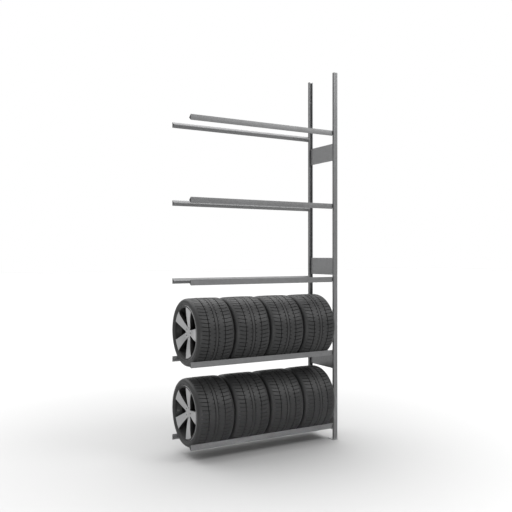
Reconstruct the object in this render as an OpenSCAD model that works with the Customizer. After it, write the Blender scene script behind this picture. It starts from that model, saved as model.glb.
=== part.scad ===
// Tyre storage rack, add-on bay: one end frame, five levels of paired beams, and two levels of stored wheels.
// X runs along the beams, towards the frame. Y runs from front to rear. Z is up.
// The origin lies on the floor, midway between the two posts of the end frame.

/* [Frame] */
// Height of the frame from the floor to the top of the posts
frame_h = 3515; // [3415:25:3815]
// Depth of the frame over the outer faces of the two posts
frame_d = 435; // [425:5:445]
// Width of a post along the beams
post_w = 43; // [42:1:48]
// Depth of a post from front to rear
post_d = 25; // [24:1:30]
// Wall thickness of a post
post_wall = 2; // [1.5:0.5:2.5]
// Height of a brace plate between the posts
brace_h = 160; // [140:10:180]

/* [Beams] */
// Length of a beam and its hook gap, from the post to the free end
beam_l = 1485; // [1475:5:1500]
// Height of a beam
beam_h = 54; // [52:1:56]
// Depth of a beam from its outer web to its nose
beam_d = 34; // [33:1:36]
// How far a beam's upper flange slopes down to its nose
flange_drop = 24; // [22:1:25]
// Distance from a post's outer face to the outer web of a beam
beam_inset = 16; // [16:1:18]
// Wall thickness of a beam
beam_wall = 2; // [1.5:0.5:2]
// Height of the lowest beam's middle above the floor
first_level = 135; // [135:25:185]
// Distance from one level to the next
level_pitch = 700; // [700:50:750]

/* [Wheels] */
// Radius of a tyre's tread
tyre_r = 301; // [296:1:304]
// Width of a tyre over its sidewalls
tyre_w = 347; // [340:1:349]
// Distance from one wheel to the next
wheel_pitch = 359; // [356:1:361]
// Radius of the rim's flange
rim_r = 240; // [236:1:243]
// How far the hub lies behind the rim's edge
hub_recess = 28; // [20:1:34]

/* [Hidden] */
$fn = 96;
levels = 5;
loaded_levels = 2;
wheels_per_level = 4;
spokes = 5;
clear = 0.3;          // gap between faces that only rest against each other
slot_pitch = 25;      // hook slots up the side of a post
slot_h = 14;
slot_w = 5;
hook_wall = 3;
hook_len = 70;
hook_gap = 8;         // gap between a beam's end and the post
hook_rise = 12.5;     // half the distance between a connector's two hooks
hook_neck = 9;        // height of a hook where it passes through its slot
plate_h = 30;         // height of the plate that carries the hooks
hook_toe = 7;         // how far a hook reaches behind the post's wall
foot_plate = 5;
bolt_r = 3;
brace_centres = [170, 760, 1660, 2760];
web_y = frame_d / 2 - beam_inset;                         // outer web of a beam
rest_angle = atan(flange_drop / beam_d);                  // slope of the flanges that a tyre rests on
wheel_rise = beam_h / 2 - web_y * tan(rest_angle) + tyre_r / cos(rest_angle) + clear;
wheel_first_x = -post_w / 2 - 206;                        // middle of the wheel nearest the frame
hook_y = -web_y + beam_wall + clear;                      // front face of a connector's plate

function level_z(i) = first_level + (i - 1) * level_pitch;
function wheel_x(j) = wheel_first_x - (wheels_per_level - j) * wheel_pitch;

// The points of an outline whose corners are rounded with radius r, four points to a corner.
function unit(v) = v / norm(v);
function arc_points(before, corner, after, r) =
    let (u = unit(before - corner), v = unit(after - corner),
         half = acos(u * v) / 2,
         cut = r / tan(half),
         centre = corner + unit(u + v) * (r / sin(half)),
         from = corner + u * cut - centre,
         to = corner + v * cut - centre,
         a0 = atan2(from[1], from[0]),
         turn = (atan2(to[1], to[0]) - a0 + 540) % 360 - 180)
    [for (k = [0:3]) centre + r * [cos(a0 + turn * k / 3), sin(a0 + turn * k / 3)]];
function rounded(points, r) =
    let (n = len(points))
    [for (i = [0:n - 1]) each arc_points(points[(i + n - 1) % n], points[i], points[(i + 1) % n], r)];

// Copies a front piece to its own side, or mirrored to the rear.
module at_side(side) {
    if (side == "front") children();
    else mirror([0, 1, 0]) children();
}

// ---- Posts: lipped channels, open towards each other, with hook slots in both side walls ----

post_y = frame_d / 2;
lip = 9;
rib_w = 14;           // shallow stiffening groove down the middle of the outer web
rib_d = 1.2;

module post_outline() {
    w = post_w / 2;
    t = post_wall;
    r = rib_w / 2;
    back = -post_y + post_d;
    difference() {
        polygon(rounded([[-w, -post_y], [w, -post_y], [w, back], [-w, back]], 3));
        polygon(rounded([[-w + t, -post_y + t], [w - t, -post_y + t], [w - t, back - t], [-w + t, back - t]], 1));
        polygon([[-r, -post_y - 1], [-r, -post_y], [-r + 2, -post_y + rib_d],
                 [r - 2, -post_y + rib_d], [r, -post_y], [r, -post_y - 1]]);
        translate([-w + lip, back - 2 * t]) square([post_w - 2 * lip, 3 * t]);
    }
}

// Heights of the bolts that tie the feet and the braces to a post, and their place in its side wall.
brace_bolt_inset = 25;
frame_bolt_zs = concat([45], [for (c = brace_centres, s = [-1, 1]) c + s * (brace_h / 2 - brace_bolt_inset)]);
frame_bolt_y = -post_y + 10.5;
bolt_hole_r = bolt_r + 0.3;

slot_first_z = (first_level - hook_rise) % slot_pitch + 3 * slot_pitch;
slot_y = hook_y - 1;

module bolt_holes(zs) for (z = zs) translate([0, frame_bolt_y, z])
    rotate([0, 90, 0]) cylinder(r = bolt_hole_r, h = post_w);

module post(side) color([0.55, 0.55, 0.56]) at_side(side) difference() {
    translate([0, 0, foot_plate]) linear_extrude(frame_h - foot_plate) post_outline();
    for (z = [slot_first_z:slot_pitch:frame_h - slot_pitch], s = [-1, 1])
        translate([s * (post_w / 2 - post_wall / 2) - post_wall, slot_y, z - hook_neck / 2 - clear])
            cube([2 * post_wall, slot_w, slot_h]);
    bolt_holes(frame_bolt_zs);
}

// ---- Feet: a floor plate with an anchor hole and an upstand inside the post ----

anchor_y = 150;        // half the distance between the two anchor holes
anchor_hole_r = 6;
foot_l = 90;
foot_overhang = 8;
upstand_wall = 2.5;
inner_w = post_w / 2 - post_wall - clear;      // half the room inside a post
inner_d = post_d - 2 * post_wall - 2 * clear;

module foot(side) color([0.5, 0.5, 0.51]) at_side(side) difference() {
    union() {
        translate([-post_w / 2 - foot_overhang, -post_y, 0])
            cube([post_w + 2 * foot_overhang, foot_l, foot_plate]);
        difference() {
            translate([-inner_w, -post_y + post_wall + clear, foot_plate - 1]) cube([2 * inner_w, inner_d, 76]);
            translate([-inner_w + upstand_wall, -post_y + post_wall + clear + upstand_wall, foot_plate])
                cube([2 * (inner_w - upstand_wall), inner_d, 80]);
        }
    }
    translate([0, -anchor_y, -1]) cylinder(r = anchor_hole_r, h = foot_plate + 2);
    bolt_holes([frame_bolt_zs[0]]);
}

// ---- Braces: plates between the posts, folded at each end to a tab that is bolted inside the post ----

brace_sheet = 2;
brace_lip = 9;

module brace(i) color([0.55, 0.55, 0.56]) {
    c = brace_centres[i - 1];
    fold_y = post_y - post_d + post_wall + clear + brace_sheet;   // outer face of the crossing fold
    lip_y = post_y - post_d - 6;
    difference() {
        union() {
            translate([-brace_sheet / 2, -fold_y, c - brace_h / 2]) cube([brace_sheet, 2 * fold_y, brace_h]);
            for (s = [-1, 1]) translate([-brace_sheet / 2, -lip_y, c + s * (brace_h - brace_sheet) / 2 - brace_sheet / 2])
                cube([brace_lip, 2 * lip_y, brace_sheet]);
            for (side = ["front", "rear"]) at_side(side) translate([0, 0, c - brace_h / 2]) {
                translate([-brace_sheet / 2, -fold_y, 0]) cube([inner_w + brace_sheet / 2, brace_sheet, brace_h]);
                translate([inner_w - brace_sheet, -fold_y - inner_d + brace_sheet, 0])
                    cube([brace_sheet, inner_d, brace_h]);
            }
        }
        for (side = ["front", "rear"]) at_side(side)
            bolt_holes([for (s = [-1, 1]) c + s * (brace_h / 2 - brace_bolt_inset)]);
    }
}

// Bolts go in through the wall that faces away from the bay; their nuts lie inside the post.
module at_frame_bolts() {
    for (side = ["front", "rear"], z = frame_bolt_zs) at_side(side)
        translate([post_w / 2, frame_bolt_y, z]) rotate([0, 90, 0]) children();
}

bolt_af = 5.77;       // radius over a hexagon's corners
bolt_grip = 5.2;      // wall and tab between the bolt's head and its nut

module frame_bolts() color([0.72, 0.72, 0.74]) at_frame_bolts() {
    translate([0, 0, 0.05]) cylinder(r = bolt_af, h = 4, $fn = 6);
    translate([0, 0, -14]) cylinder(r = bolt_r, h = 15);
}

module frame_nuts() color([0.72, 0.72, 0.74]) at_frame_bolts()
    translate([0, 0, -bolt_grip - 5]) difference() {
        cylinder(r = bolt_af, h = 5, $fn = 6);
        translate([0, 0, -1]) cylinder(r = bolt_r + 0.05, h = 7);
    }

// ---- Beams: closed sections whose upper flange slopes inwards to cradle a tyre ----

nose_h = 6;

function beam_outline() =
    let (h = beam_h / 2)
    [[-web_y, -h], [-web_y + beam_d, h - flange_drop - nose_h], [-web_y + beam_d, h - flange_drop], [-web_y, h]];

// The same outline moved inwards by the wall thickness, edge by edge.
function inset_edge(a, b, t) = let (n = unit([-(b - a)[1], (b - a)[0]])) [a + n * t, b + n * t];
function cross2(a, b) = a[0] * b[1] - a[1] * b[0];
function meet(e, f) =
    let (d = e[1] - e[0], g = f[1] - f[0])
    e[0] + d * (cross2(f[0] - e[0], g) / cross2(d, g));
function inset(points, t) =
    let (n = len(points), edges = [for (i = [0:n - 1]) inset_edge(points[i], points[(i + 1) % n], t)])
    [for (i = [0:n - 1]) meet(edges[(i + n - 1) % n], edges[i])];

module beam(side, i) color([0.58, 0.58, 0.59]) at_side(side)
    translate([-post_w / 2 - beam_l, 0, level_z(i)]) rotate([90, 0, 90])
        linear_extrude(beam_l - hook_gap) difference() {
            polygon(rounded(beam_outline(), 2.5));
            polygon(rounded(inset(beam_outline(), beam_wall), 1.5));
        }

// ---- Connectors: plates inside the beams' ends; two hooks drop behind the post's side wall ----

module hook(z) {
    top = z + hook_neck / 2 - 2;
    tip = post_wall + clear;
    polygon([[-2, z - hook_neck / 2], [tip, z - hook_neck / 2], [tip, z - hook_neck / 2 - 4],
             [tip + hook_toe - 2, z - hook_neck / 2 - 4], [tip + hook_toe, z - hook_neck / 2 - 2],
             [tip + hook_toe, top - 2], [tip + hook_toe - 3, top], [-2, top]]);
}

module connector() translate([-post_w / 2, hook_y + hook_wall, 0]) rotate([90, 0, 0]) linear_extrude(hook_wall)
    union() {
        translate([-hook_len, -plate_h / 2]) square([hook_len - clear, plate_h]);
        for (z = [-hook_rise, hook_rise]) hook(z);
    }

module connectors(side) color([0.28, 0.28, 0.29])
    for (i = [1:levels]) at_side(side) translate([0, 0, level_z(i)]) connector();

// Clips that fill the slot above each upper hook, so that a knock can't lift the beam out.
module locking_clips() color([0.8, 0.8, 0.78])
    for (i = [1:levels], side = ["front", "rear"]) at_side(side)
        translate([-post_w / 2, hook_y + clear, level_z(i) + hook_rise + hook_neck / 2 - 2 + clear]) {
            translate([-clip_l / 2, 0, 0]) cube([clip_l, clip_w, clip_h]);
            translate([-clip_l / 2, -1, 0]) cube([2, clip_w + 1, clip_h + 7]);
        }

clip_l = 13;
clip_w = 2.4;
clip_h = 3.4;

// ---- End plugs: plastic plugs pushed into the free ends of the beams ----

plug_l = 22;

module end_plugs(side) color([0.1, 0.1, 0.1]) for (i = [1:levels]) at_side(side)
    translate([-post_w / 2 - beam_l + 1, 0, level_z(i)]) rotate([90, 0, 90])
        difference() {
            linear_extrude(plug_l) polygon(rounded(inset(beam_outline(), beam_wall + 0.1), 1.5));
            translate([0, 0, 2.5]) linear_extrude(plug_l) polygon(rounded(inset(beam_outline(), beam_wall + 2.2), 0.6));
        }

// ---- Wheels: a tyre, an alloy rim, a centre cap and a valve, turned about X ----

// The tyre's section as points [radius, distance from the middle], listed round the outside and back inside.
groove_w = 8;
groove_depth = 7;
groove_xs = [-66, -9, 9, 72];
function groove(x, w) = [[tyre_r, x - w / 2], [tyre_r - groove_depth, x - w / 2 + 1],
                         [tyre_r - groove_depth, x + w / 2 - 1], [tyre_r, x + w / 2]];
half_w = tyre_w / 2;
flange_x = half_w - 12;                   // inner face of the rim's flange
bead_r = rim_r - 14;
bead_w = 16;
function side_wall(s) = [[tyre_r - 1.5, s * (half_w - 40)], [tyre_r - 6, s * (half_w - 20)],
                         [tyre_r - 16, s * (half_w - 7)], [tyre_r - 31, s * half_w], [tyre_r - 46, s * (half_w - 2)],
                         [rim_r + 7, s * (half_w - 9)], [rim_r + 1, s * (flange_x + 1.5)],
                         [bead_r + clear, s * (flange_x - 0.5)], [bead_r + clear, s * (flange_x - bead_w)],
                         [rim_r + 16, s * (half_w - 17)], [tyre_r - 34, s * (half_w - 12)],
                         [tyre_r - 18, s * (half_w - 34)]];
function reversed(v) = [for (i = [len(v) - 1:-1:0]) v[i]];

module tyre_shape() rotate([0, 90, 0]) rotate_extrude()
    polygon(concat(side_wall(1), reversed(side_wall(-1)),
        [for (x = groove_xs) each groove(x, abs(x) < 30 ? 6 : groove_w)]));

// Barrel of the rim: flange, bead seat, drop centre, and the same wall inside.
barrel_wall = 6;
function barrel_outer(s) = [[rim_r, s * (flange_x + 7)], [rim_r, s * (flange_x + 2)], [bead_r, s * flange_x],
                            [bead_r, s * (flange_x - 24)], [bead_r - 22, s * (flange_x - 50)]];
function barrel_inner(s) = [[bead_r - barrel_wall - 22, s * (flange_x - 52)],
                            [bead_r - barrel_wall, s * (flange_x - 26)], [bead_r - barrel_wall, s * (flange_x + 2)],
                            [rim_r - 6, s * (flange_x + 7)]];

dish_x = -(flange_x + 5);                 // face of the spokes at the rim
hub_x = dish_x + hub_recess;              // face of the hub
hub_r = 46;
pad_r = 60;                               // bolting face behind the spokes
cap_r = 29;
lug_circle = 47;
lug_r = 7.5;
valve_x = -(flange_x - 36);
valve_hole_r = 5.8;

module spoke_plan() for (k = [0:spokes - 1]) rotate(k * 360 / spokes)
    polygon([[20, -22], [hub_r, -26], [rim_r - 8, -56], [rim_r - 8, 56], [hub_r, 26], [20, 22]]);

module rim_shape() difference() {
    union() {
        rotate([0, 90, 0]) rotate_extrude()
            polygon(concat(barrel_outer(1), reversed(barrel_outer(-1)), reversed(barrel_inner(-1)), barrel_inner(1)));
        intersection() {
            rotate([0, 90, 0]) rotate_extrude()
                polygon([[0, hub_x], [hub_r - 6, hub_x], [bead_r - 2, dish_x], [bead_r - 2, dish_x + 32],
                         [hub_r + 20, hub_x + 34], [0, hub_x + 34]]);
            rotate([0, 90, 0]) translate([0, 0, -half_w]) linear_extrude(tyre_w) union() {
                spoke_plan();
                circle(r = hub_r);
            }
        }
        rotate([0, 90, 0]) translate([0, 0, hub_x + 12]) cylinder(r = pad_r, h = 38);
    }
    rotate([0, 90, 0]) translate([0, 0, hub_x - 20]) cylinder(r = cap_r + 0.2, h = 90);
    for (k = [0:spokes - 1]) rotate([(k + 0.5) * 360 / spokes, 0, 0])
        translate([hub_x - 20, 0, lug_circle]) rotate([0, 90, 0]) cylinder(r = lug_r, h = 90);
    translate([valve_x, 0, bead_r - 60]) cylinder(r = valve_hole_r, h = 80);
}

// The cap's rim is set back in the hub's bore.
module cap_shape() rotate([0, 90, 0]) union() {
    translate([0, 0, hub_x - 2]) cylinder(r1 = cap_r - 3, r2 = cap_r, h = 2);
    translate([0, 0, hub_x]) cylinder(r = cap_r, h = 9);
}

// A snap-in valve: its stem, cap and bulge point at the hub, and its foot fills the hole in the barrel.
module valve_shape() translate([valve_x, 0, bead_r]) {
    translate([0, 0, -52]) cylinder(r = 5, h = 13);
    translate([0, 0, -48]) cylinder(r = 4, h = 34);
    translate([0, 0, -28]) cylinder(r = 7.5, h = 6.5);
    translate([0, 0, -20]) cylinder(r = valve_hole_r - 0.2, h = 18);
}

// How far each wheel is turned about its axle, as it happened to be put away.
wheel_turns = [[-18, 31, 12, -20], [-18, 18, -27, 9]];
function wheel_turn(i, j) = wheel_turns[i - 1][j - 1];

module at_wheel(i, j) translate([wheel_x(j), 0, level_z(i) + wheel_rise]) rotate([wheel_turn(i, j), 0, 0]) children();

module wheel_piece(piece, i, j) at_wheel(i, j) {
    if (piece == "tyre") color([0.16, 0.16, 0.17]) tyre_shape();
    if (piece == "rim") color([0.66, 0.66, 0.68]) rim_shape();
    if (piece == "cap") color([0.75, 0.75, 0.77]) cap_shape();
    if (piece == "valve") color([0.1, 0.1, 0.1]) valve_shape();
}

post("front");  // front_post
post("rear");  // rear_post
foot("front");  // front_foot
foot("rear");  // rear_foot
for (i = [1:len(brace_centres)]) brace(i);
frame_bolts();
frame_nuts();
for (i = [1:levels], side = ["front", "rear"]) beam(side, i);
connectors("front");  // front_connectors
connectors("rear");  // rear_connectors
locking_clips();
end_plugs("front");  // front_end_plugs
end_plugs("rear");  // rear_end_plugs
for (i = [1:loaded_levels], j = [1:wheels_per_level], piece = ["tyre", "rim", "cap", "valve"])
    wheel_piece(piece, i, j);
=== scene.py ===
# %% [markdown]
# # A tyre storage rack with two loaded levels
# This bay of shelving has one end frame, five levels of paired beams, and eight wheels stored on the lowest two.
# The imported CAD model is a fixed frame: every piece below is built in metres in the same coordinates, and takes
# its size and place from the CAD node that it stands for, so nothing has to be fitted by eye afterwards.

# %% Load the frame
import math

import bmesh
import bpy
from mathutils import Matrix, Vector
from mathutils.geometry import interpolate_bezier


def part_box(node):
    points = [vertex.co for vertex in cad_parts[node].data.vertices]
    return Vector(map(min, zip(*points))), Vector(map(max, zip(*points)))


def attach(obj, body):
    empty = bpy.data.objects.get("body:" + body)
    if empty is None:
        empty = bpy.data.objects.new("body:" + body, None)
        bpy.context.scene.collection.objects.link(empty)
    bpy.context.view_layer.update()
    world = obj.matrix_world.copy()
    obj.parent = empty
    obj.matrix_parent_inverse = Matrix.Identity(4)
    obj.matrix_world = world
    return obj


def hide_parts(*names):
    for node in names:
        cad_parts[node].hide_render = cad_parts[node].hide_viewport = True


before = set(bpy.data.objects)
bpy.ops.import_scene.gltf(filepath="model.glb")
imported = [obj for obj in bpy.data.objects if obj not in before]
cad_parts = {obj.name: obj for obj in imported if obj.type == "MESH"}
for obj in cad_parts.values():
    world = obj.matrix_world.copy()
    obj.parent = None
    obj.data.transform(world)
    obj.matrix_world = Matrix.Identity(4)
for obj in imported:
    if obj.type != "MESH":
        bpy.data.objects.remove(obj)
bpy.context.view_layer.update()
scene = bpy.context.scene

# %% [markdown]
# ## The camera
# A tall rack is usually shown level, so that its posts stay upright in the picture. The camera is therefore not
# tilted: it stands at half the rack's height, far to the front left, and is only turned about the vertical.

# %% Camera
CAMERA_PLACE = (-3.7754, -5.2345, 1.7592)
CAMERA_TURN = 29.98      # degrees to the right of looking straight at the front
CAMERA_LENS = 45.76      # millimetres


def add_camera():
    camera = bpy.data.objects.new("camera", bpy.data.cameras.new("camera"))
    camera.data.lens = CAMERA_LENS
    camera.location = CAMERA_PLACE
    camera.rotation_euler = (math.radians(90), 0, math.radians(-CAMERA_TURN))
    scene.collection.objects.link(camera)
    scene.camera = camera


add_camera()
print("the camera stands at", CAMERA_PLACE)

# %% [markdown]
# ## Shader arithmetic
# Procedural finishes are mostly arithmetic on noise. Writing that arithmetic with nodes takes a lot of lines, so a
# small class wraps a socket and overloads the operators: each operation adds its Math node. Every other node comes
# from one method, which sets the node's options first and then its inputs, either to a number or to a link.


# %% Sockets that can be used in expressions
class Shade:
    """An output socket of a finish, which can be added, subtracted and multiplied."""

    def __init__(self, finish, socket):
        self.finish = finish
        self.socket = socket

    def math(self, operation, first, second):
        return self.finish.node("ShaderNodeMath", {"operation": operation}, {0: first, 1: second})

    def __add__(self, other):
        return self.math("ADD", self, other)

    def __sub__(self, other):
        return self.math("SUBTRACT", self, other)

    def __rsub__(self, other):
        return self.math("SUBTRACT", other, self)

    def __mul__(self, other):
        return self.math("MULTIPLY", self, other)

    __radd__ = __add__
    __rmul__ = __mul__


# %% One class for a finish
class Finish:
    """A material with a Principled shader. Constants go on the shader's own sockets."""

    def __init__(self, name, constants):
        self.material = bpy.data.materials.new(name)
        self.material.use_nodes = True
        self.tree = self.material.node_tree
        self.shader = self.tree.nodes["Principled BSDF"]
        for socket, value in constants.items():
            self.shader.inputs[socket].default_value = value
        self.place = self.node("ShaderNodeTexCoord", output="Object")

    def node(self, kind, settings=None, inputs=None, output=0):
        node = self.tree.nodes.new(kind)
        for setting, value in (settings or {}).items():
            if setting == "stops":
                for element, (position, colour) in zip(node.color_ramp.elements, value):
                    element.position = position
                    element.color = (*colour, 1)
            else:
                setattr(node, setting, value)
        for socket, value in (inputs or {}).items():
            if isinstance(value, Shade):
                self.tree.links.new(value.socket, node.inputs[socket])
            else:
                node.inputs[socket].default_value = value
        return Shade(self, node.outputs[output])

    def feed(self, socket, value):
        self.tree.links.new(value.socket, self.shader.inputs[socket])

    def noise(self, scale, stretch=(1, 1, 1), detail=3.0):
        place = self.node("ShaderNodeMapping", None, {"Vector": self.place, "Scale": stretch})
        return self.node("ShaderNodeTexNoise", None, {"Vector": place, "Scale": scale, "Detail": detail})

    def cells(self, scale):
        """A random number for each cell of a Voronoi pattern."""
        colour = self.node("ShaderNodeTexVoronoi", None, {"Vector": self.place, "Scale": scale}, "Color")
        return self.node("ShaderNodeSeparateColor", None, {"Color": colour})

    def between(self, value, low, high):
        """0 below low, 1 above high, and a straight slope between."""
        return self.node("ShaderNodeMapRange", None, {"Value": value, "From Min": low, "From Max": high})

    def mix(self, amount, first, second):
        """Two colours, mixed by a number that may vary over the surface."""
        return self.node("ShaderNodeMix", {"data_type": "RGBA"}, {0: amount, 6: first, 7: second}, 2)

    def distance(self):
        """How far a point lies from the object's origin."""
        return self.node("ShaderNodeVectorMath", {"operation": "LENGTH"}, {0: self.place}, "Value")

    def painted(self, name):
        """A number that the mesh carries at its points."""
        return self.node("ShaderNodeAttribute", {"attribute_name": name}, None, "Fac")

    def bump(self, height, strength, distance):
        relief = {"Height": height, "Strength": strength, "Distance": distance}
        self.feed("Normal", self.node("ShaderNodeBump", None, relief, "Normal"))


def grey(level, tint=0.0):
    """A neutral colour, a little bluer where tint is above 0."""
    return (level * (1 - tint), level * (1 - tint / 3), level * (1 + tint), 1)


# %% [markdown]
# ## Galvanised steel
# Posts, braces and beams are rolled from zinc-coated strip. Close up, the zinc shows spangle, crystals about as wide
# as a fingernail, each a slightly different grey. Rolling leaves fine lines along the length of the section, and
# handling dulls it in soft patches. The spangle is a Voronoi pattern with one random grey per cell; the lines are
# noise that is stretched along the section, so posts and beams need the same finish with a different direction.


# %% Steel finishes
STEEL_GREY = 0.16
ALONG_X = (1.5, 90, 90)
ALONG_Z = (90, 90, 1.5)


def galvanised(name, along, level=STEEL_GREY):
    steel = Finish(name, {"Metallic": 0.45, "Specular IOR Level": 0.4})
    spangle = steel.cells(75)
    lines = steel.noise(1.0, along, 4)
    patches = steel.noise(2.2)
    worn = steel.between(steel.noise(9, detail=6), 0.56, 0.72)
    shade = spangle * 0.22 + lines * 0.3 + patches * 0.3 + 0.12
    plain = steel.mix(shade, grey(level * 0.72, 0.01), grey(level * 1.22, 0.01))
    steel.feed("Base Color", steel.mix(worn * 0.35, plain, grey(level * 0.8, -0.03)))
    steel.feed("Roughness", spangle * 0.08 + patches * 0.12 + worn * 0.1 + 0.33)
    steel.bump(spangle * 0.25 + lines * 0.75, 0.25, 0.0004)
    return steel.material


def zinc_plated():
    zinc = Finish("zinc_plated", {"Metallic": 0.8})
    blotch = zinc.noise(140, detail=5)
    zinc.feed("Base Color", zinc.mix(blotch, (0.33, 0.34, 0.33, 1), (0.52, 0.52, 0.47, 1)))
    zinc.feed("Roughness", blotch * 0.25 + 0.25)
    zinc.bump(blotch, 0.15, 0.0002)
    return zinc.material


def dark_coat_with_painted_shade():
    # painted shade: the connectors sit in the gap between beam end and post, and this coat is near black to stand in
    # for the shade there; the lighter rubbed patches are wear
    coat = Finish("connector_steel_painted_shade", {"Metallic": 0.2, "Coat Roughness": 0.35, "Coat Weight": 0.15})
    peel = coat.noise(420, detail=2)
    rubbed = coat.between(coat.noise(35, detail=6), 0.58, 0.7)
    coat.feed("Base Color", coat.mix(rubbed * 0.5, grey(0.03), grey(0.12)))
    coat.feed("Roughness", rubbed * 0.15 + 0.42)
    coat.bump(peel, 0.12, 0.0003)
    return coat.material


def moulded_plastic():
    plastic = Finish("black_plastic", {"Specular IOR Level": 0.4})
    grain = plastic.noise(900, detail=2)
    dust = plastic.between(plastic.noise(25, detail=5), 0.5, 0.8)
    plastic.feed("Base Color", plastic.mix(dust * 0.4, grey(0.012), grey(0.035)))
    plastic.feed("Roughness", dust * 0.2 + 0.5)
    plastic.bump(grain, 0.3, 0.0002)
    return plastic.material


post_steel = galvanised("post_steel", ALONG_Z, STEEL_GREY * 0.98)
beam_steel = galvanised("beam_steel", ALONG_X, STEEL_GREY)
# painted light: the braces and feet take lighter copies of the same galvanised steel, 1.45 and 2.2 times as bright, to
# lift them where they stand in shade
brace_steel_painted_light = galvanised("brace_steel_painted_light", (2, 40, 40), STEEL_GREY * 1.45)
foot_steel_painted_light = galvanised("foot_steel_painted_light", (40, 40, 40), STEEL_GREY * 2.2)
zinc = zinc_plated()
connector_coat_painted_shade = dark_coat_with_painted_shade()
plug_plastic = moulded_plastic()
print("made", len(bpy.data.materials), "metal and plastic finishes")

# %% [markdown]
# ## Rubber and alloy
# Tyre rubber is never a flat black. Its tread face is slightly polished, and the mesh of the tyre carries a number for
# depth: the finish paints the grooves and sipes near black with it, as painted shade, and makes them rougher. The
# sidewall has a very fine mould texture. The wheels have silver spokes over a barrel and pockets in black, as
# two-tone rims have: the same rim mesh carries both finishes, each on its own faces.


# %% Rubber and alloy finishes
def tyre_rubber():
    rubber = Finish("tyre_rubber", {"Specular IOR Level": 0.3})
    depth = rubber.painted("depth")
    grain = rubber.noise(600, detail=4)
    cloud = rubber.noise(7, detail=4)
    scuffs = rubber.between(rubber.noise(60, (1, 1, 1), 6), 0.52, 0.75)
    face = rubber.mix(cloud, grey(0.016, 0.02), grey(0.028, 0.01))
    dusty = rubber.mix(scuffs * 0.3, face, (0.045, 0.044, 0.042, 1))
    # painted shade: the deeper a point lies in a groove or sipe, the nearer its colour goes to black
    rubber.feed("Base Color", rubber.mix(depth * 0.9, dusty, grey(0.003)))
    rubber.feed("Roughness", depth * 0.3 + cloud * 0.12 + scuffs * 0.12 + 0.42)
    rubber.bump(grain, 0.35, 0.0004)
    return rubber.material


def silver_alloy():
    silver = Finish("silver_alloy", {"Metallic": 0.55, "Coat Roughness": 0.12, "Coat Weight": 0.25})
    flake = silver.cells(1500)
    haze = silver.noise(12, detail=4)
    silver.feed("Base Color", silver.mix(flake * 0.35 + haze * 0.5, grey(0.26, 0.01), grey(0.40, 0.01)))
    silver.feed("Roughness", flake * 0.1 + haze * 0.15 + 0.28)
    silver.bump(flake, 0.08, 0.0002)
    return silver.material


def gloss_black():
    black = Finish("gloss_black_alloy", {"Specular IOR Level": 0.3, "Coat Weight": 0.08, "Coat Roughness": 0.3})
    dust = black.between(black.noise(30, detail=6), 0.45, 0.75)
    black.feed("Base Color", black.mix(dust, grey(0.006), grey(0.02)))
    black.feed("Roughness", dust * 0.3 + 0.5)
    black.bump(black.noise(300), 0.1, 0.0002)
    return black.material


rubber = tyre_rubber()
silver = silver_alloy()
black = gloss_black()

# %% [markdown]
# ## From a bmesh to a piece
# Each shape is built in a bmesh and then becomes an object that rides on the body of the CAD node it stands for.
# Smooth shading with sharp edges above an angle keeps flat faces flat while the rolled corners look round.


# %% Making a piece
SHARP = math.radians(32)


def finish_mesh(name, bm, *materials):
    bmesh.ops.remove_doubles(bm, verts=bm.verts, dist=1e-6)
    mesh = bpy.data.meshes.new(name)
    bm.to_mesh(mesh)
    bm.free()
    for material in materials:
        mesh.materials.append(material)
    mesh.shade_smooth()
    mesh.set_sharp_from_angle(angle=SHARP)
    return mesh


def add_piece(name, mesh, body, slot, *nodes):
    piece = bpy.data.objects.new(name, mesh)
    scene.collection.objects.link(piece)
    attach(piece, body)
    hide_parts(*nodes)
    return piece


def path(bm, points, closed=False):
    """Joins points by edges and returns the edges."""
    verts = [bm.verts.new(p) for p in points]
    pairs = list(zip(verts, verts[1:] + verts[:1])) if closed else list(zip(verts, verts[1:]))
    return [bm.edges.new(pair) for pair in pairs]


def draw_out(bm, edges, offset):
    """Extrudes edges by an offset and returns the new edges."""
    new = bmesh.ops.extrude_edge_only(bm, edges=edges)["geom"]
    bmesh.ops.translate(bm, verts=[g for g in new if isinstance(g, bmesh.types.BMVert)], vec=offset)
    return [g for g in new if isinstance(g, bmesh.types.BMEdge)]


def round_folds(bm, edges, radius, segments=4):
    """Bevels edges to an arc of flat strips."""
    bmesh.ops.bevel(bm, geom=edges, offset=radius, offset_type="OFFSET", segments=segments, profile=0.5,
                    affect="EDGES", material=-1)


def thicken(bm, wall):
    """Turns an open sheet into a wall on its inner side, once its faces point outwards."""
    bmesh.ops.recalc_face_normals(bm, faces=bm.faces)
    bmesh.ops.solidify(bm, geom=bm.faces[:], thickness=wall)


# %% [markdown]
# ## Beams
# A beam is strip rolled into a closed section. Its upper flange slopes down towards the middle of the rack, so that
# a pair of beams cradles a tyre without any shelf board. The section is drawn as a closed path at one end, drawn out
# along the rack, folded round at its four corners and then given the thickness of the strip. The free end stays
# open, as on the real beam, and shows the wall.

# %% Beams
BEAM_WALL = 0.002
BEAM_FOLD = 0.0025
BEAM_CORNER = 0.0015            # how much the folds take off the height of the acute corners
BEAM_DROP = 0.024               # from the top of the outer web down to the nose
BEAM_NOSE = 0.006


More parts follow.
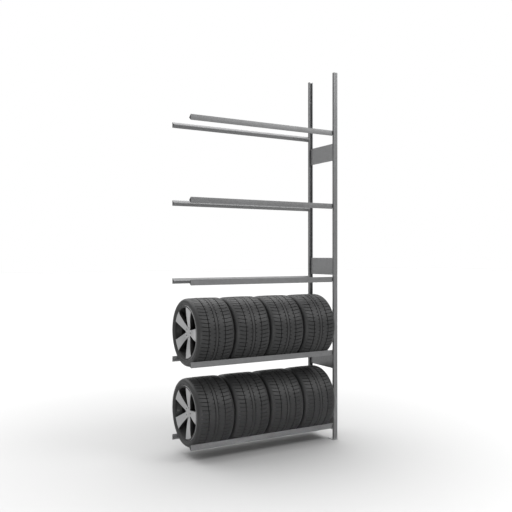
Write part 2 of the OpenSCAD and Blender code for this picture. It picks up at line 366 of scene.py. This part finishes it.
def beam_mesh(name, node, side):
    """side is -1 for a front beam and 1 for a rear beam."""
    low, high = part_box(node)
    web = low.y if side < 0 else high.y
    nose = high.y if side < 0 else low.y
    base, top = low.z - BEAM_CORNER, high.z + BEAM_CORNER
    shelf = top - BEAM_DROP
    bm = bmesh.new()
    ring = path(bm, [(low.x, web, base), (low.x, nose, shelf - BEAM_NOSE), (low.x, nose, shelf),
                     (low.x, web, top)], closed=True)
    draw_out(bm, ring, (high.x - low.x, 0, 0))
    folds = [e for e in bm.edges if not e.is_boundary]
    round_folds(bm, folds, BEAM_FOLD)
    thicken(bm, BEAM_WALL)
    return finish_mesh(name, bm, beam_steel)


LEVELS = range(1, 6)
SIDES = (("front", -1), ("rear", 1))
for level in LEVELS:
    for side_name, side in SIDES:
        node = f"{side_name}_beam_{level}"
        add_piece(f"{node}_section", beam_mesh(node, node, side), "rack", "beam_steel", node)
print("added", len(LEVELS) * len(SIDES), "beams")

# %% [markdown]
# ## Posts
# A post is a strip folded to a channel: an outer web with a shallow stiffening groove, two side walls and two lips
# that turn back in. Both side walls are punched with a column of slots for the beams' hooks. The section is drawn
# upwards in steps that end where a slot starts or stops, and the faces of the slots are then deleted. Giving the
# sheet its thickness afterwards makes the edges of the slots as well.

# %% Posts
POST_WALL = 0.002
POST_LIP = 0.009
POST_FOLD = 0.0022
GROOVE_HALF = 0.007
GROOVE_IN = 0.0012
SLOT_PITCH = 0.025
SLOT_H = 0.014
SLOT_FROM = 0.0173              # how far the slots lie behind the outer web
SLOT_TO = 0.0223
LOWEST_SLOT = 0.0927            # foot of the lowest slot, above the floor


def slot_feet(top):
    """Heights of the lower ends of the slots, from the floor to the top of the post."""
    count = int((top - SLOT_PITCH - LOWEST_SLOT) / SLOT_PITCH) + 1
    return [LOWEST_SLOT + SLOT_PITCH * k for k in range(count)]


def post_section(half, depth):
    """Points (x, distance behind the outer web) from one lip round to the other."""
    right = [(half - POST_LIP, depth), (half, depth), (half, SLOT_TO), (half, SLOT_FROM), (half, 0),
             (GROOVE_HALF, 0), (GROOVE_HALF - 0.002, GROOVE_IN)]
    return right + [(-x, y) for x, y in reversed(right)]


def post_mesh(node, side):
    low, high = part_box(node)
    web = low.y if side < 0 else high.y
    half, depth = high.x, high.y - low.y
    feet = slot_feet(high.z)
    heights = sorted([low.z, high.z] + feet + [foot + SLOT_H for foot in feet])
    bm = bmesh.new()
    row = path(bm, [(x, web - side * y, low.z) for x, y in post_section(half, depth)])
    for below, above in zip(heights, heights[1:]):
        row = draw_out(bm, row, (0, 0, above - below))
    punched = []
    for face in bm.faces:
        middle = face.calc_center_median()
        behind = abs(middle.y - web)
        if SLOT_FROM < behind < SLOT_TO and any(foot < middle.z < foot + SLOT_H for foot in feet):
            punched.append(face)
    bmesh.ops.delete(bm, geom=punched, context="FACES_ONLY")
    folds = [e for e in bm.edges if abs(e.verts[0].co.z - e.verts[1].co.z) > 0.001
             and abs(abs(e.verts[0].co.x) - half) < 1e-5
             and min(abs(e.verts[0].co.y - web), abs(abs(e.verts[0].co.y - web) - depth)) < 1e-5]
    round_folds(bm, folds, POST_FOLD, 3)
    thicken(bm, POST_WALL)
    return finish_mesh(node, bm, post_steel)


for side_name, side in SIDES:
    node = f"{side_name}_post"
    mesh = post_mesh(node, side)
    add_piece(f"{node}_channel", mesh, "rack", "galvanised_steel", node)
    print(node, "has", len(mesh.polygons), "faces")

# %% [markdown]
# ## Braces
# A brace is one folded sheet. Seen from above it steps sideways at each end to a tab, which is bolted inside the
# post, and its upper and lower edges are turned to lips that keep the thin plate flat. The plan is drawn as a path
# and drawn upwards once; the lips are then drawn out from the top and bottom edges.

# %% Braces
BRACE_SHEET = 0.002
BRACE_LIP = 0.007
BRACE_FOLD = 0.0015
TAB_L = 0.0184                  # how far a tab reaches into its post
LIP_SHORT = 0.0103              # how far the lips stop short of the end folds


def brace_mesh(node):
    low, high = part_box(node)
    fold = high.y - TAB_L
    tab = high.x - BRACE_SHEET
    plan = [(tab, high.y), (tab, fold), (low.x, fold), (low.x, fold - LIP_SHORT)]
    plan = [(x, -y) for x, y in plan] + list(reversed(plan))
    bm = bmesh.new()
    foot = path(bm, [(x, y, low.z) for x, y in plan])
    head = draw_out(bm, foot, (0, 0, high.z - low.z))
    ends = [e for e in bm.edges if not e.is_boundary]
    flat = [e for e in foot + head if all(abs(v.co.x - low.x) < 1e-6 and abs(v.co.y) < fold - 0.005 for v in e.verts)]
    draw_out(bm, flat, (BRACE_LIP, 0, 0))
    folded = [e for e in ends if abs(e.verts[0].co.y) > fold - 0.001] + flat
    round_folds(bm, folded, BRACE_FOLD, 3)
    thicken(bm, BRACE_SHEET)
    return finish_mesh(node, bm, brace_steel_painted_light)


for number in (1, 2, 3, 4):
    node = f"brace_{number}"
    mesh = brace_mesh(node)
    add_piece(f"{node}_sheet", mesh, "rack", "galvanised_steel", node)
    print(node, "has", len(mesh.polygons), "faces")

# %% [markdown]
# ## Frame bolts
# The bolts that tie the braces and the feet to the posts are small, but they catch the light on the outside of the
# frame. One bolt is a six-sided cone of equal radii with its upper rim bevelled, over a flat washer face and a
# shank. Copies are set where the CAD bolts are: two to each end of a brace, and one to each foot.

# %% Bolts
BOLT_CORNER = 0.00577           # from a head's middle to its corners
BOLT_HEAD = 0.0038
BOLT_R = 0.003
BOLT_IN = 0.0105                # how far a bolt lies behind the post's outer web
BOLT_FROM_EDGE = 0.025          # and from a brace's upper or lower edge


def bolt_heights():
    heights = [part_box("front_foot")[1].z / 2 + 0.005]
    for number in (1, 2, 3, 4):
        low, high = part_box(f"brace_{number}")
        heights += [low.z + BOLT_FROM_EDGE, high.z - BOLT_FROM_EDGE]
    return heights


def cone(bm, radius_, from_x, to_x, segments):
    """A cylinder along X, as a cone whose two radii are the same."""
    turn = Matrix.Translation(((from_x + to_x) / 2, 0, 0)) @ Matrix.Rotation(math.radians(90), 4, "Y")
    return bmesh.ops.create_cone(bm, cap_ends=True, segments=segments, radius1=radius_, radius2=radius_,
                                 depth=to_x - from_x, matrix=turn)["verts"]


def one_bolt(bm, place):
    head = cone(bm, BOLT_CORNER, 0.0006, BOLT_HEAD, 6)
    outer = [e for e in {e for v in head for e in v.link_edges} if all(v.co.x > BOLT_HEAD - 1e-5 for v in e.verts)]
    new = bmesh.ops.bevel(bm, geom=outer, offset=0.0007, offset_type="OFFSET", segments=2, profile=0.5,
                          affect="EDGES", material=-1)["verts"]
    verts = {v for v in head if v.is_valid} | set(new)
    verts |= set(cone(bm, BOLT_CORNER - 0.0008, 0.0001, 0.0006, 24)) | set(cone(bm, BOLT_R, -0.0139, 0.0003, 16))
    bmesh.ops.translate(bm, verts=list(verts), vec=place)


def bolts_mesh():
    bm = bmesh.new()
    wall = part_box("front_post")[1].x
    for side_name, side in SIDES:
        low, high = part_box(f"{side_name}_post")
        web = low.y if side < 0 else high.y
        for height in bolt_heights():
            one_bolt(bm, (wall, web - side * BOLT_IN, height))
    return finish_mesh("frame_bolts", bm, zinc)


bolts = bolts_mesh()
add_piece("frame_bolts_hexagonal", bolts, "rack", "zinc_fasteners", "frame_bolts")
print("the frame's bolts have", len(bolts.polygons), "faces")

# %% [markdown]
# ## Tyres
# A tyre is a turned shape with a repeating pattern, so one pitch of it is built and then copied round. The section
# runs from bead to bead over the tread and back inside. It is spun by a few small steps, which is one pitch of the
# tread. In the shoulder bands one of the steps is sunk to make a sipe, the ribs get short notches in the same way,
# and the shoulders are sheared along the circumference so that the sipes curve. Copies are merged into the tyre.

# %% Tyre section
wheel_low, wheel_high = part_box("tyre_1_1")
TYRE_R = (wheel_high.z - wheel_low.z) / 2
print("a stored tyre is", round(TYRE_R * 2000), "mm over its tread")
PITCHES = 54
PITCH_STEPS = 6
HALF_W = (wheel_high.x - wheel_low.x) / 2
RIM_R = (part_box("rim_1_1")[1].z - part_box("rim_1_1")[0].z) / 2
FLANGE_X = (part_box("rim_1_1")[1].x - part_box("rim_1_1")[0].x) / 2
TREAD_HALF = HALF_W - 0.045
BLOCKS_FROM = 0.0815            # where the shoulder blocks start, from the middle of the tread
GROOVE_DEPTH = 0.0075
GROOVES = ((-0.0775, 0.007), (-0.014, 0.0055), (0.0135, 0.0055), (0.077, 0.007))
NOTCHES = ((0.016, 0.032), (0.060, 0.075))     # bands of the ribs that are notched, from the middle
SIPE_DEPTH = 0.007
SIPE_DRAFT = 0.0007             # how much a sipe narrows to its bottom, on each side
SIPE_REACH = 0.018              # how far the sipes run on past the edge of the tread
SIPE_SWEEP = 0.007              # how far their outer ends lie round the tyre


def crown(x):
    return TYRE_R - 0.0002 - 0.0018 * (x / TREAD_HALF) ** 2


def curve(first, handle_1, handle_2, last, steps):
    """Points of a Bezier curve in the section's plane, as (x, r)."""
    flat = [Vector((*p, 0)) for p in (first, handle_1, handle_2, last)]
    return [(p.x, p.y) for p in interpolate_bezier(*flat, steps)]


def ridge(x, r, width, height):
    """A raised ring on the sidewall, as points from its outer to its inner edge."""
    return [(x, r), (x + height, r - 0.0008), (x + height, r - width + 0.0008), (x, r - width)]


def sidewall():
    """From the edge of the tread to the bead, on the positive side."""
    belly = TYRE_R - 0.034
    bead = RIM_R + 0.0015
    upper = curve((TREAD_HALF, crown(TREAD_HALF)), (TREAD_HALF + 0.028, TYRE_R - 0.003),
                  (HALF_W - 0.001, TYRE_R - 0.014), (HALF_W - 0.001, belly), 9)
    ring = ridge(HALF_W - 0.001, belly - 0.004, 0.004, 0.0009)
    lower = curve((HALF_W - 0.0012, belly - 0.011), (HALF_W - 0.002, belly - 0.017),
                  (FLANGE_X + 0.001, bead + 0.004), (FLANGE_X - 0.003, bead), 7)
    seat = RIM_R - 0.0135
    inner = [(FLANGE_X - 0.0055, bead - 0.003), (FLANGE_X - 0.0075, seat), (FLANGE_X - 0.023, seat),
             (HALF_W - 0.015, RIM_R + 0.016), (HALF_W - 0.012, TYRE_R - 0.034), (HALF_W - 0.034, TYRE_R - 0.019)]
    return upper + ring + lower + inner


def tread_face():
    """From the left edge of the tread to the right, with its grooves."""
    points = []
    ribs = [-TREAD_HALF] + [x + side * width / 2 for x, width in GROOVES for side in (-1, 1)] + [TREAD_HALF]
    for k in range(0, len(ribs), 2):
        start, end = ribs[k], ribs[k + 1]
        steps = max(1, round((end - start) / 0.014))
        points += [(x, crown(x)) for x in (start + (end - start) * s / steps for s in range(steps + 1))]
        if k + 2 < len(ribs):
            wall = 0.0012
            points += [(end + wall, crown(end) - GROOVE_DEPTH), (ribs[k + 2] - wall, crown(end) - GROOVE_DEPTH)]
    return points


def tyre_section():
    right = sidewall()
    left = [(-x, r) for x, r in reversed(right)]
    return tread_face()[1:-1] + right + left


# %% One tyre
def tyre_bmesh():
    bm = bmesh.new()
    ring = path(bm, [(x, 0, r) for x, r in tyre_section()], closed=True)
    turn = math.tau / PITCHES
    bmesh.ops.spin(bm, geom=ring + bm.verts[:], cent=(0, 0, 0), axis=(1, 0, 0), angle=turn, steps=PITCH_STEPS,
                   use_merge=False, use_duplicate=False)
    bmesh.ops.recalc_face_normals(bm, faces=bm.faces)
    cut_sipes(bm, turn)
    paint_depth(bm)
    sweep_sipes(bm)
    bmesh.ops.spin(bm, geom=bm.faces[:] + bm.edges[:] + bm.verts[:], cent=(0, 0, 0), axis=(1, 0, 0),
                   angle=turn * (PITCHES - 1), steps=PITCHES - 1, use_duplicate=True)
    bmesh.ops.remove_doubles(bm, verts=bm.verts, dist=2e-5)
    return bm


def radius(point):
    return math.hypot(point.y, point.z)


def cut_sipes(bm, turn):
    """Sinks one step of each pitch across the shoulder blocks."""
    bands = {}
    for face in bm.faces:
        middle = face.calc_center_median()
        step = int(abs(math.atan2(middle.y, middle.z)) / turn * PITCH_STEPS)
        on_block = BLOCKS_FROM < abs(middle.x) < TREAD_HALF + SIPE_REACH and radius(middle) > crown(TREAD_HALF) - 0.005
        if step == 1 and on_block:
            bands.setdefault(middle.x > 0, []).append(face)
        for k, (near, far) in enumerate(NOTCHES):
            if step == 1 + 3 * (1 - k) and near < abs(middle.x) < far and radius(middle) > crown(far) - 0.001:
                bands.setdefault((k, middle.x > 0), []).append(face)
    for faces in bands.values():
        bmesh.ops.inset_region(bm, faces=faces, thickness=SIPE_DRAFT, depth=-SIPE_DEPTH, use_even_offset=True)


def paint_depth(bm):
    """Gives each point of the tread how deep it lies, which the rubber's finish uses to paint shade into the grooves.
    """
    layer = bm.verts.layers.float.new("depth")
    for vert in bm.verts:
        if abs(vert.co.x) < TREAD_HALF + 0.0005:
            low = crown(vert.co.x) - 0.001 - radius(vert.co)
            vert[layer] = min(max(low / 0.003, 0), 1)


def sweep_sipes(bm):
    """Shears the shoulders round the tyre, so that straight sipes become curved ones."""
    for vert in bm.verts:
        out = max(abs(vert.co.x) - BLOCKS_FROM, 0) / (TREAD_HALF - BLOCKS_FROM)
        angle = -SIPE_SWEEP / TYRE_R * min(out, 1.2) ** 1.5
        vert.co.rotate(Matrix.Rotation(angle, 3, "X"))


tyre_pattern = finish_mesh("tyre_pattern", tyre_bmesh(), rubber)
print("a tyre has", len(tyre_pattern.polygons), "faces")

# %% [markdown]
# ## Rims
# The face of the rim is one dished sheet of metal with five windows cut out of it. Seen from the hub it is a polar
# grid: rings of points that cover the full fifth of a turn near the hub and narrow to a spoke further out. One row of
# edges is drawn outwards ring by ring, and each new row is put at its own angle and depth. Five copies merge at
# the hub, the sheet is thickened by extruding it backwards, and its window edges are bevelled. The barrel is spun.

# %% Rim sizes
SPOKES = 5
CAP_R = (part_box("cap_1_1")[1].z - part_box("cap_1_1")[0].z) / 2
BEAD_R = RIM_R - 0.014
BARREL_WALL = 0.006
HUB_R = 0.064
HUB_RECESS = 0.028
LUG_CIRCLE = 0.047
LUG_R = 0.0075
LUG_BLOCK = 0.0058              # quads whose middles lie this close are taken out for a hole
LUG_REACH = 0.014               # and points this close are moved to its edge
TIP_R = 0.0435                  # where the windows' inner corners lie
SPOKE_HUB_HALF = TIP_R * math.sin(math.pi / SPOKES)
SPOKE_RIM_HALF = 0.054
SPOKE_COLUMNS = 12
SPOKE_DEPTH = 0.032
HUB_DEPTH = 0.046
WINDOW_ROUNDING = 0.0022
FACE_R = BEAD_R - 0.0015
LIP_BAND = 0.0022               # the machined edge of the front lip
REAR_BAND = 0.06                # the silver part of the barrel, at the back


def spoke_half_angle(r):
    """Half the angle that the metal covers at a radius: a full fifth near the hub, then a widening spoke."""
    if r <= TIP_R:
        return math.pi / SPOKES
    out = (r - TIP_R) / (FACE_R - TIP_R)
    half_width = SPOKE_HUB_HALF + (SPOKE_RIM_HALF - SPOKE_HUB_HALF) * out ** 1.15
    fillet = 0.006 * math.exp(-(FACE_R - r) / 0.004)
    return math.asin((half_width + fillet) / r)


def dish(r):
    """How far the face of the spokes lies from the middle of the wheel."""
    out = min(max((r - HUB_R) / (FACE_R - HUB_R), 0), 1)
    return -FLANGE_X + 0.002 + HUB_RECESS * (1 - out) ** 1.5


def polar(r, angle, x):
    """A point at a radius and an angle from the middle of the spoke opposite the valve."""
    return Vector((x, r * math.sin(angle), -r * math.cos(angle)))


# %% The rim's face
def face_sheet(bm):
    """One fifth of the face, as a grid of quads."""
    rings = [CAP_R, 0.034, 0.0395, TIP_R, 0.0505, 0.0545, 0.059, HUB_R]
    rings += [HUB_R + step for step in (0.008, 0.02, 0.036, 0.055, 0.08, 0.105)]
    rings += [FACE_R - step for step in (0.03, 0.018, 0.010, 0.005, 0.002, 0)]
    span = [2 * k / SPOKE_COLUMNS - 1 for k in range(SPOKE_COLUMNS + 1)]
    row = path(bm, [polar(rings[0], spoke_half_angle(rings[0]) * s, dish(rings[0])) for s in span])
    for r in rings[1:]:
        row = draw_out(bm, row, (0, 0, 0.001))
        moved = sorted({v for edge in row for v in edge.verts}, key=lambda v: math.atan2(v.co.y, -v.co.z))
        for vert, s in zip(moved, span):
            vert.co = polar(r, spoke_half_angle(r) * s, dish(r))


def lug_holes(bm):
    """Turns a block of quads on each spoke's root into a round hole."""
    for k in range(SPOKES):
        middle = polar(LUG_CIRCLE, k * math.tau / SPOKES, dish(LUG_CIRCLE))
        block = [f for f in bm.faces if (f.calc_center_median() - middle).length < LUG_BLOCK]
        if not block:
            continue
        bmesh.ops.delete(bm, geom=block, context="FACES")
        rim = {v for e in bm.edges if e.is_boundary for v in e.verts if (v.co - middle).length < LUG_REACH}
        for vert in rim:
            out = vert.co - middle
            out.x = 0
            vert.co = middle + out.normalized() * LUG_R


def rim_face(bm):
    face_sheet(bm)
    bmesh.ops.spin(bm, geom=bm.faces[:] + bm.edges[:] + bm.verts[:], cent=(0, 0, 0), axis=(1, 0, 0),
                   angle=math.tau * (SPOKES - 1) / SPOKES, steps=SPOKES - 1, use_duplicate=True)
    bmesh.ops.remove_doubles(bm, verts=bm.verts, dist=1e-5)
    lug_holes(bm)
    bmesh.ops.recalc_face_normals(bm, faces=bm.faces)
    if sum(f.normal.x for f in bm.faces) > 0:
        bmesh.ops.reverse_faces(bm, faces=bm.faces)
    front = bm.faces[:]
    back = bmesh.ops.extrude_face_region(bm, geom=front, use_keep_orig=True)["geom"]
    deep = [g for g in back if isinstance(g, bmesh.types.BMVert)]
    for vert in deep:
        r = radius(vert.co)
        vert.co.x += SPOKE_DEPTH if r > TIP_R + 0.001 else HUB_DEPTH
    bmesh.ops.recalc_face_normals(bm, faces=bm.faces)
    rims = [e for e in bm.edges if len(e.link_faces) == 2 and any(f in set(front) for f in e.link_faces)
            and e.calc_face_angle(0) > math.radians(50)]
    round_folds(bm, rims, WINDOW_ROUNDING, 2)
    for face in bm.faces:
        face.material_index = 0 if face.normal.x < -0.35 else 1


def barrel_section():
    """The barrel's wall, closed: the flanges, the bead seats and the drop between them."""
    flange = FLANGE_X
    outer = [(flange - 0.0015, RIM_R), (flange - 0.005, RIM_R - 0.0006), (flange - 0.007, BEAD_R + 0.002),
             (flange - 0.009, BEAD_R), (flange - 0.026, BEAD_R - 0.0015), (flange - 0.031, BEAD_R - 0.003),
             (flange - 0.057, BEAD_R - 0.022)]
    inner = [(flange - 0.059, BEAD_R - 0.022 - BARREL_WALL), (flange - 0.033, BEAD_R - BARREL_WALL - 0.003),
             (flange - 0.006, BEAD_R - BARREL_WALL), (flange - 0.002, BEAD_R), (flange, RIM_R - 0.005),
             (flange, RIM_R - 0.0015)]
    mirrored = [(-x, r) for x, r in reversed(outer)]
    return outer + mirrored + [(-x, r) for x, r in reversed(inner)] + inner


def rim_barrel():
    bm = bmesh.new()
    ring = path(bm, [(x, 0, r) for x, r in barrel_section()], closed=True)
    bmesh.ops.spin(bm, geom=ring + bm.verts[:], cent=(0, 0, 0), axis=(1, 0, 0), angle=math.tau, steps=144,
                   use_merge=True)
    bmesh.ops.recalc_face_normals(bm, faces=bm.faces)
    for face in bm.faces:
        middle = face.calc_center_median()
        on_lip = middle.x < -FLANGE_X + 0.006 and radius(middle) > RIM_R - LIP_BAND
        face.material_index = 0 if on_lip or middle.x > FLANGE_X - REAR_BAND else 1
    return bm


def rim_mesh():
    bm = rim_barrel()
    face = bmesh.new()
    rim_face(face)
    part = bpy.data.meshes.new("rim_face")
    face.to_mesh(part)
    face.free()
    bm.from_mesh(part)
    bpy.data.meshes.remove(part)
    return finish_mesh("rim_pattern", bm, silver, black)


rim_pattern = rim_mesh()
print("a rim has", len(rim_pattern.polygons), "faces")

# %% [markdown]
# ## Centre caps and valves
# Both are small turned parts, so each is half a section spun once round its own axis. The cap is a slightly domed
# disc that sits in the hub's bore. The valve is a rubber stem with a screwed plastic cap, which points at the hub.


# %% Turned parts
def turned(name, section, steps, *materials):
    """A section of (distance along X, radius) points from axis to axis, spun into a closed solid."""
    bm = bmesh.new()
    line = path(bm, [(x, 0, r) for x, r in section])
    bmesh.ops.spin(bm, geom=line + bm.verts[:], cent=(0, 0, 0), axis=(1, 0, 0), angle=math.tau, steps=steps,
                   use_merge=True)
    bmesh.ops.remove_doubles(bm, verts=bm.verts, dist=1e-6)
    bmesh.ops.recalc_face_normals(bm, faces=bm.faces)
    return finish_mesh(name, bm, *materials)


def cap_pattern_mesh():
    """A domed middle, a shallow ring groove round it, and a skirt that reaches into the bore."""
    front = dish(0) - 0.0015
    r = CAP_R - 0.0004
    dome = [(front, 0), (front + 0.0002, r * 0.35), (front + 0.0008, r * 0.62)]
    groove = [(front + 0.0018, r * 0.66), (front + 0.0018, r * 0.72), (front + 0.0009, r * 0.76)]
    skirt = [(front + 0.0014, r * 0.93), (front + 0.0028, r), (front + 0.0105, r), (front + 0.0105, r - 0.002),
             (front + 0.004, r - 0.0035), (front + 0.004, 0)]
    return turned("cap_pattern", dome + groove + skirt, 48, silver)


def valve_pattern_mesh():
    """Along X from the tip of its cap, which is turned to point at the hub when it is placed."""
    cap, stem, bulge, foot = 0.0045, 0.0037, 0.0073, 0.0054
    section = [(0, 0), (0.0002, cap - 0.0012), (0.0012, cap), (0.0118, cap), (0.0122, cap - 0.0006),
               (0.0128, stem), (0.0238, stem), (0.0243, bulge - 0.001), (0.0258, bulge), (0.0298, bulge),
               (0.0304, foot), (0.049, foot), (0.0494, 0)]
    return turned("valve_pattern", section, 24, plug_plastic)


cap_pattern = cap_pattern_mesh()
valve_pattern = valve_pattern_mesh()

# %% [markdown]
# ## Putting the wheels away
# The patterns are built about the origin. Each stored wheel takes a copy of them: the copy's mesh is turned about its
# axle and moved to the CAD wheel's middle, and the object itself stays at the origin. How far a wheel was turned when
# it was put away is read from where its CAD valve lies.


# %% Wheels
VALVE_LENGTH = 0.052            # from the barrel to the tip of the valve's cap


def placed(pattern, name, place):
    mesh = pattern.copy()
    mesh.name = name
    mesh.transform(place)
    return mesh


def wheel(row, column):
    tag = f"{row}_{column}"
    body = f"wheel_{tag}"
    low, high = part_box(f"tyre_{tag}")
    middle = (low + high) / 2
    valve_low, valve_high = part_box(f"valve_{tag}")
    valve = (valve_low + valve_high) / 2 - middle
    turn = Matrix.Rotation(math.atan2(-valve.y, valve.z), 4, "X")
    place = Matrix.Translation(middle) @ turn
    tip = BEAD_R - VALVE_LENGTH
    stem = place @ Matrix.Translation((valve.x, 0, tip)) @ Matrix.Rotation(math.radians(-90), 4, "Y")
    for part, pattern, where, slot in (("tyre", tyre_pattern, place, "tyre_rubber"),
                                       ("rim", rim_pattern, place, "rim_alloy"),
                                       ("cap", cap_pattern, place, "cap_alloy"),
                                       ("valve", valve_pattern, stem, "valve_rubber")):
        node = f"{part}_{tag}"
        add_piece(f"stored_{node}", placed(pattern, f"stored_{node}", where), body, slot, node)


for row in (1, 2):
    for column in (1, 2, 3, 4):
        wheel(row, column)
for pattern in (tyre_pattern, rim_pattern, cap_pattern, valve_pattern):
    bpy.data.meshes.remove(pattern)
print("stored 8 wheels")

# %% [markdown]
# ## The pieces that keep their CAD shape
# The hooks, clips, plugs and feet are simple and exact already, so they only need their finish. A CAD node takes
# it through its material slot.


# %% CAD nodes
def coat(node, material):
    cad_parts[node].material_slots[0].material = material


# the connectors take the near-black coat, which paints the shade at the beam ends
# the feet take the lighter copy of the steel, which is painted light
for node, material in (("front_foot", foot_steel_painted_light), ("rear_foot", foot_steel_painted_light), ("frame_nuts", zinc),
                       ("locking_clips", zinc), ("front_connectors", connector_coat_painted_shade),
                       ("rear_connectors", connector_coat_painted_shade), ("front_end_plugs", plug_plastic),
                       ("rear_end_plugs", plug_plastic)):
    coat(node, material)

# %% [markdown]
# ## Floor and light
# The rack stands on a wide pale floor under a white sky, as in a studio with a large diffuser. The floor's colour
# carries a painted shadow: it is greyer under the rack and pales with distance, so it fades into the surround. A very
# soft light from above and behind draws the shadow forward, a large softbox high in front brightens the top of the
# posts, and two low ones lift the tyres and the lowest beam.


# %% Stage
def add_floor():
    bm = bmesh.new()
    bmesh.ops.create_grid(bm, x_segments=1, y_segments=1, size=60)
    mesh = bpy.data.meshes.new("floor")
    bm.to_mesh(mesh)
    bm.free()
    pale = Finish("pale_floor", {"Roughness": 0.9, "Specular IOR Level": 0.1})
    # painted shadow: the floor's colour is darker near the rack's middle and pales with distance
    away = pale.between(pale.distance(), FLOOR_NEAR, FLOOR_FAR)
    pale.feed("Base Color", pale.mix(away + pale.noise(0.4) * 0.04, grey(FLOOR_SHADOW_GREY), grey(FLOOR_WHITE)))
    mesh.materials.append(pale.material)
    floor = bpy.data.objects.new("floor", mesh)
    scene.collection.objects.link(floor)
    floor.location = FLOOR_MIDDLE


def add_sky(horizon, zenith):
    """A white surround whose light grows from the horizon to the zenith, as under a large diffuser."""
    world = bpy.data.worlds.new("studio")
    world.use_nodes = True
    tree = world.node_tree
    light = tree.nodes["Background"]
    light.inputs["Color"].default_value = (1, 1, 1, 1)
    direction = tree.nodes.new("ShaderNodeTexCoord")
    height = tree.nodes.new("ShaderNodeSeparateXYZ")
    strength = tree.nodes.new("ShaderNodeMapRange")
    for socket, value in (("From Min", 0), ("From Max", 1), ("To Min", horizon), ("To Max", zenith)):
        strength.inputs[socket].default_value = value
    tree.links.new(direction.outputs["Generated"], height.inputs["Vector"])
    tree.links.new(height.outputs["Z"], strength.inputs["Value"])
    tree.links.new(strength.outputs["Result"], light.inputs["Strength"])
    white = tree.nodes.new("ShaderNodeBackground")
    seen = tree.nodes.new("ShaderNodeLightPath")
    choice = tree.nodes.new("ShaderNodeMixShader")
    tree.links.new(seen.outputs["Is Camera Ray"], choice.inputs["Fac"])
    tree.links.new(light.outputs["Background"], choice.inputs[1])
    tree.links.new(white.outputs["Background"], choice.inputs[2])
    tree.links.new(choice.outputs["Shader"], tree.nodes["World Output"].inputs["Surface"])
    white.inputs["Color"].default_value = (1, 1, 1, 1)
    scene.world = world


def add_backlight(power, spread, rise):
    """A very soft light from above and behind, the same over the whole floor, which draws the shadow forward."""
    light = bpy.data.lights.new("backlight", "SUN")
    light.energy = power
    light.angle = math.radians(spread)
    lamp = bpy.data.objects.new("backlight", light)
    lamp.location = (0, 4, 7)
    lamp.rotation_euler = (math.radians(rise - 90), 0, 0)
    scene.collection.objects.link(lamp)


def add_softbox(name, place, aim, size, power, spread=180):
    light = bpy.data.lights.new(name, "AREA")
    light.shape = "RECTANGLE"
    light.size, light.size_y = size
    light.spread = math.radians(spread)
    light.energy = power
    lamp = bpy.data.objects.new(name, light)
    lamp.location = place
    lamp.rotation_euler = (Vector(aim) - Vector(place)).to_track_quat("-Z", "Y").to_euler()
    scene.collection.objects.link(lamp)


# painted shadow: the floor's colour under the rack, which pales to the far colour between the near and far distances
FLOOR_SHADOW_GREY = 0.40               # under the rack
FLOOR_WHITE = 0.63              # and where it fades into the surround
FLOOR_MIDDLE = (-0.75, 0, 0)
FLOOR_NEAR = 0.3                # it starts to pale this far from its middle
FLOOR_FAR = 4.5
add_floor()
add_sky(0.32, 1.3)
add_backlight(2.6, 80, 60)
add_softbox("high_front", (2.9, -4.4, 5.6), (0, -0.2, 3.2), (3.0, 2.0), 170)
add_softbox("low_front", (-2.2, -4.5, 0.7), (-0.8, 0, 0.3), (2.0, 1.0), 42)
add_softbox("low_strip", (-2.4, -4.6, 0.16), (-0.75, -0.2, 0.12), (1.6, 0.1), 1.2, 12)
scene.view_settings.view_transform = "Standard"
